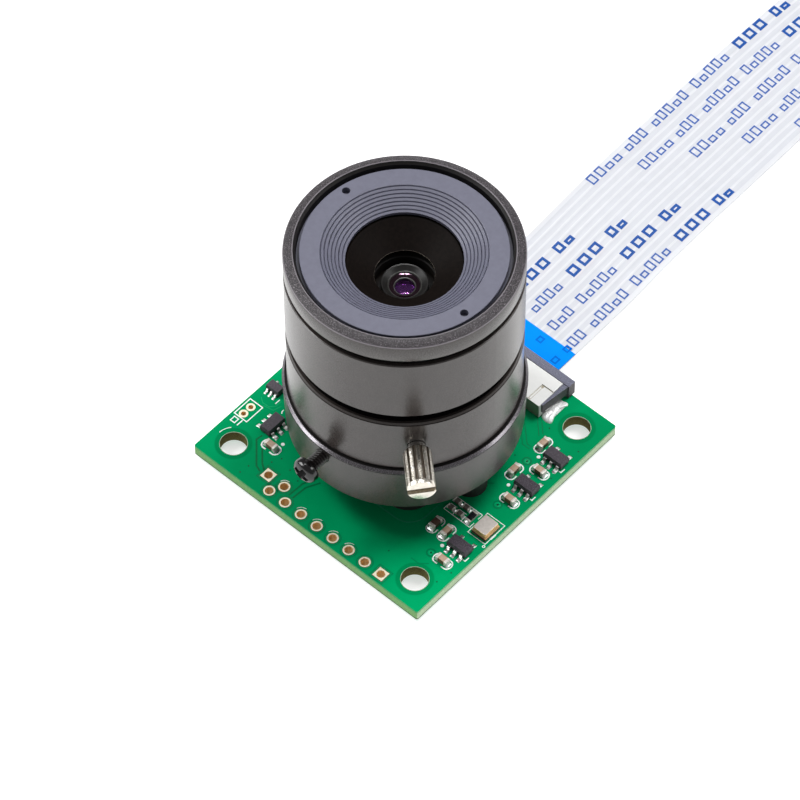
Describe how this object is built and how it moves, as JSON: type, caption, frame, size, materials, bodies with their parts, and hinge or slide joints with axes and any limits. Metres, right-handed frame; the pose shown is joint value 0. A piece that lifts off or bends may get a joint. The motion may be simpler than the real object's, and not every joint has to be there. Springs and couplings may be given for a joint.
{
  "type": "camera module",
  "caption": "Square board camera with a round screw-in lens in a lens holder, a knurled lock screw and a flat flexible cable from an edge connector.",
  "frame": {"origin": "centre of the four mounting holes, on the lens axis, at the underside of the circuit board", "axes": "+Z out of the lens, +Y towards the edge that the flat cable leaves by, +X to the right when looking along +Y"},
  "size_m": [0.0358, 0.1817, 0.0388],
  "materials": {
    "solder_mask": "green solder mask over fibreglass",
    "tinned_copper": "bright tinned copper",
    "gilded_copper": "immersion gold over nickel and copper",
    "sensor_package": "dark sensor package",
    "optical_glass": "coated optical glass",
    "filter_glass": "pale cyan filter glass",
    "holder_black": "black anodised, satin",
    "anodised_black": "black anodised, semi-gloss",
    "black_steel": "black oxide",
    "nickel": "nickel plated brass",
    "baffle_grey": "blue-grey satin",
    "matt_black": "matt black",
    "ivory_plastic": "ivory moulded plastic",
    "slider_plastic": "dark mauve moulded plastic",
    "chip_epoxy": "dark moulded epoxy",
    "capacitor_tan": "tan ceramic with tinned ends",
    "capacitor_grey": "grey ceramic with tinned ends",
    "resistor_black": "black glazed top with tinned ends",
    "ceramic_base": "brown ceramic with gilded edge",
    "crystal_metal": "bare metal lid",
    "cable_film": "white polyester film",
    "stiffener_blue": "azure polyester stiffener"
  },
  "bodies": {
    "board": {"circuit_board": "solder_mask", "pad_rings": "gilded_copper", "image_sensor": "sensor_package", "sensor_cover_glass": "optical_glass", "lens_holder": "holder_black", "ir_cut_filter": "filter_glass", "holder_screws": "black_steel", "connector_housing": "ivory_plastic", "connector_contacts": "tinned_copper", "connector_hold_downs": "tinned_copper", "regulator_chips": "chip_epoxy", "regulator_leads": "tinned_copper", "gate_chip": "chip_epoxy", "gate_leads": "tinned_copper", "level_shift_chip": "chip_epoxy", "level_shift_leads": "tinned_copper", "ceramic_capacitors": "capacitor_tan", "small_capacitors": "capacitor_grey", "chip_resistor": "resistor_black", "crystal_base": "ceramic_base", "crystal_lid": "crystal_metal", "flat_cable": "cable_film", "cable_near_stiffener": "stiffener_blue", "cable_far_stiffener": "stiffener_blue", "cable_far_contacts": "tinned_copper"},
    "lock_screw": {"lens_lock_screw": "black_steel"},
    "cable_lock": {"connector_slider": "slider_plastic"},
    "lens_mount": {"lens_base_ring": "anodised_black"},
    "thumbscrew": {"focus_thumbscrew": "nickel"},
    "optics": {"optical_cell": "matt_black", "front_element": "optical_glass", "front_spacer": "matt_black", "second_element": "optical_glass", "aperture_stop": "matt_black", "doublet_crown": "optical_glass", "doublet_flint": "optical_glass", "cell_spacer": "matt_black", "rear_element": "optical_glass", "rear_retaining_ring": "matt_black"},
    "barrel": {"focus_barrel": "anodised_black", "front_bezel": "anodised_black", "front_baffle_ring": "baffle_grey", "inner_hood": "matt_black"}
  },
  "joints": [
    {"name": "lens_turn", "type": "hinge", "parent": "board", "child": "lens_mount", "pos_m": [0, 0, 0.0145], "axis": [0, 0, 1], "range_deg": [0, 360]},
    {"name": "thumbscrew_turn", "type": "hinge", "parent": "lens_mount", "child": "thumbscrew", "pos_m": [0.01019, -0.0094, 0.019], "axis": [0.7349, -0.6782, 0], "range_deg": [0, 360]},
    {"name": "focus_travel", "type": "slide", "parent": "lens_mount", "child": "optics", "axis": [0, 0, 1], "range_m": [-0.00112, 0.00038]},
    {"name": "focus_turn", "type": "hinge", "parent": "optics", "child": "barrel", "pos_m": [0, 0, 0.03], "axis": [0, 0, 1], "range_deg": [-541, 181]},
    {"name": "lock_screw_turn", "type": "hinge", "parent": "board", "child": "lock_screw", "pos_m": [0, -0.0165, 0.01275], "axis": [0, -1, 0], "range_deg": [0, 360]},
    {"name": "cable_lock_slide", "type": "slide", "parent": "board", "child": "cable_lock", "axis": [0, 1, 0], "range_m": [0, 0.001]}
  ],
  "couplings": [
    {"joint": "focus_turn", "follows": "focus_travel", "rad_per_m": 8377.6}
  ]
}
